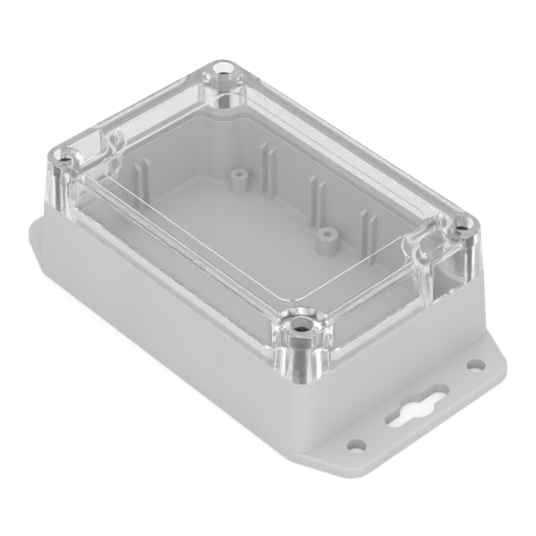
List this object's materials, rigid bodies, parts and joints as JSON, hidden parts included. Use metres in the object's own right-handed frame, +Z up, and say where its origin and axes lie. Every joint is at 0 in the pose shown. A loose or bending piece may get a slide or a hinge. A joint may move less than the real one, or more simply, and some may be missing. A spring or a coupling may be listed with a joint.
{
  "type": "plastic project box with clear lid and mounting flanges",
  "caption": "Small sealed enclosure for electronics: grey flanged base with screw columns, board ribs and posts, soft seal ring and clear screwed lid that lifts off.",
  "frame": {"origin": "centre of the underside", "axes": "+X along the length towards one flange, +Z up from the underside to the lid"},
  "size_m": [0.125, 0.0676, 0.0375],
  "materials": {
    "base_plastic": "fine moulded texture, light grey",
    "lid_clear": "clear, polished",
    "seal_rubber": "soft, pale grey",
    "screw_steel": "plain steel"
  },
  "bodies": {
    "base": {"base_shell": "base_plastic"},
    "lid": {"lid": "lid_clear", "lid_seal": "seal_rubber"},
    "screw_front_left": {"lid_screw_front_left": "screw_steel"},
    "screw_front_right": {"lid_screw_front_right": "screw_steel"},
    "screw_back_left": {"lid_screw_back_left": "screw_steel"},
    "screw_back_right": {"lid_screw_back_right": "screw_steel"}
  },
  "joints": [
    {"name": "lid_lift", "type": "slide", "parent": "base", "child": "lid", "axis": [0, 0, 1], "range_m": [0, 0.045]},
    {"name": "unscrew_front_left", "type": "slide", "parent": "lid", "child": "screw_front_left", "axis": [0, 0, 1], "range_m": [0, 0.025]},
    {"name": "unscrew_front_right", "type": "slide", "parent": "lid", "child": "screw_front_right", "axis": [0, 0, 1], "range_m": [0, 0.025]},
    {"name": "unscrew_back_left", "type": "slide", "parent": "lid", "child": "screw_back_left", "axis": [0, 0, 1], "range_m": [0, 0.025]},
    {"name": "unscrew_back_right", "type": "slide", "parent": "lid", "child": "screw_back_right", "axis": [0, 0, 1], "range_m": [0, 0.025]}
  ]
}
